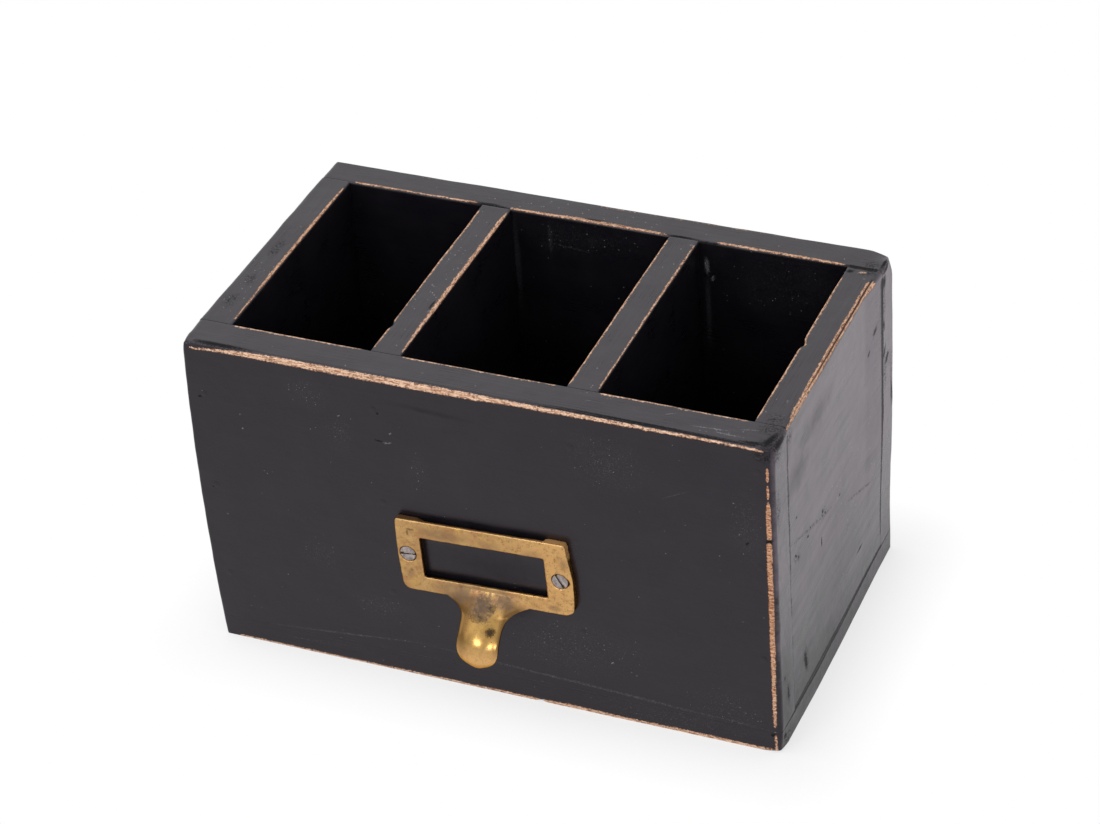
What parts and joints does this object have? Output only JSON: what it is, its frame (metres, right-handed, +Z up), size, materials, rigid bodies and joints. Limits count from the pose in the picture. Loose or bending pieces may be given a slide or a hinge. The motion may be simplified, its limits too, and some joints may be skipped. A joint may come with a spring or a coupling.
{
  "type": "pencil box",
  "caption": "Open wooden desk box with straight dividers between upright bays, black painted and worn at the edges, with a brass card frame finger pull on its front.",
  "frame": {"origin": "middle of the box's underside, where it rests on the table (the pull in front isn't counted)", "axes": "+X to the right along the front, +Y to the back, +Z up; the card frame pull faces -Y"},
  "size_m": [0.19, 0.1252, 0.115],
  "materials": {
    "painted_wood": "brushed semi-gloss black paint over tan wood, rubbed bare along the edges",
    "painted_stopping": "wood stopping, painted over",
    "cast_brass": "aged cast brass, semi-matt with brown spots",
    "screw_steel": "dull steel",
    "pin_steel": "bright drawn wire"
  },
  "bodies": {
    "root": {"base_board": "painted_wood", "front_board": "painted_wood", "back_board": "painted_wood", "left_side": "painted_wood", "right_side": "painted_wood", "left_divider": "painted_wood", "right_divider": "painted_wood", "front_left_pins": "pin_steel", "front_right_pins": "pin_steel", "back_left_pins": "pin_steel", "back_right_pins": "pin_steel", "left_divider_pins": "pin_steel", "right_divider_pins": "pin_steel", "base_pins": "pin_steel", "front_stopping": "painted_stopping", "back_stopping": "painted_stopping", "base_stopping": "painted_stopping", "label_pull": "cast_brass", "left_label_screw": "screw_steel", "right_label_screw": "screw_steel"}
  },
  "joints": []
}
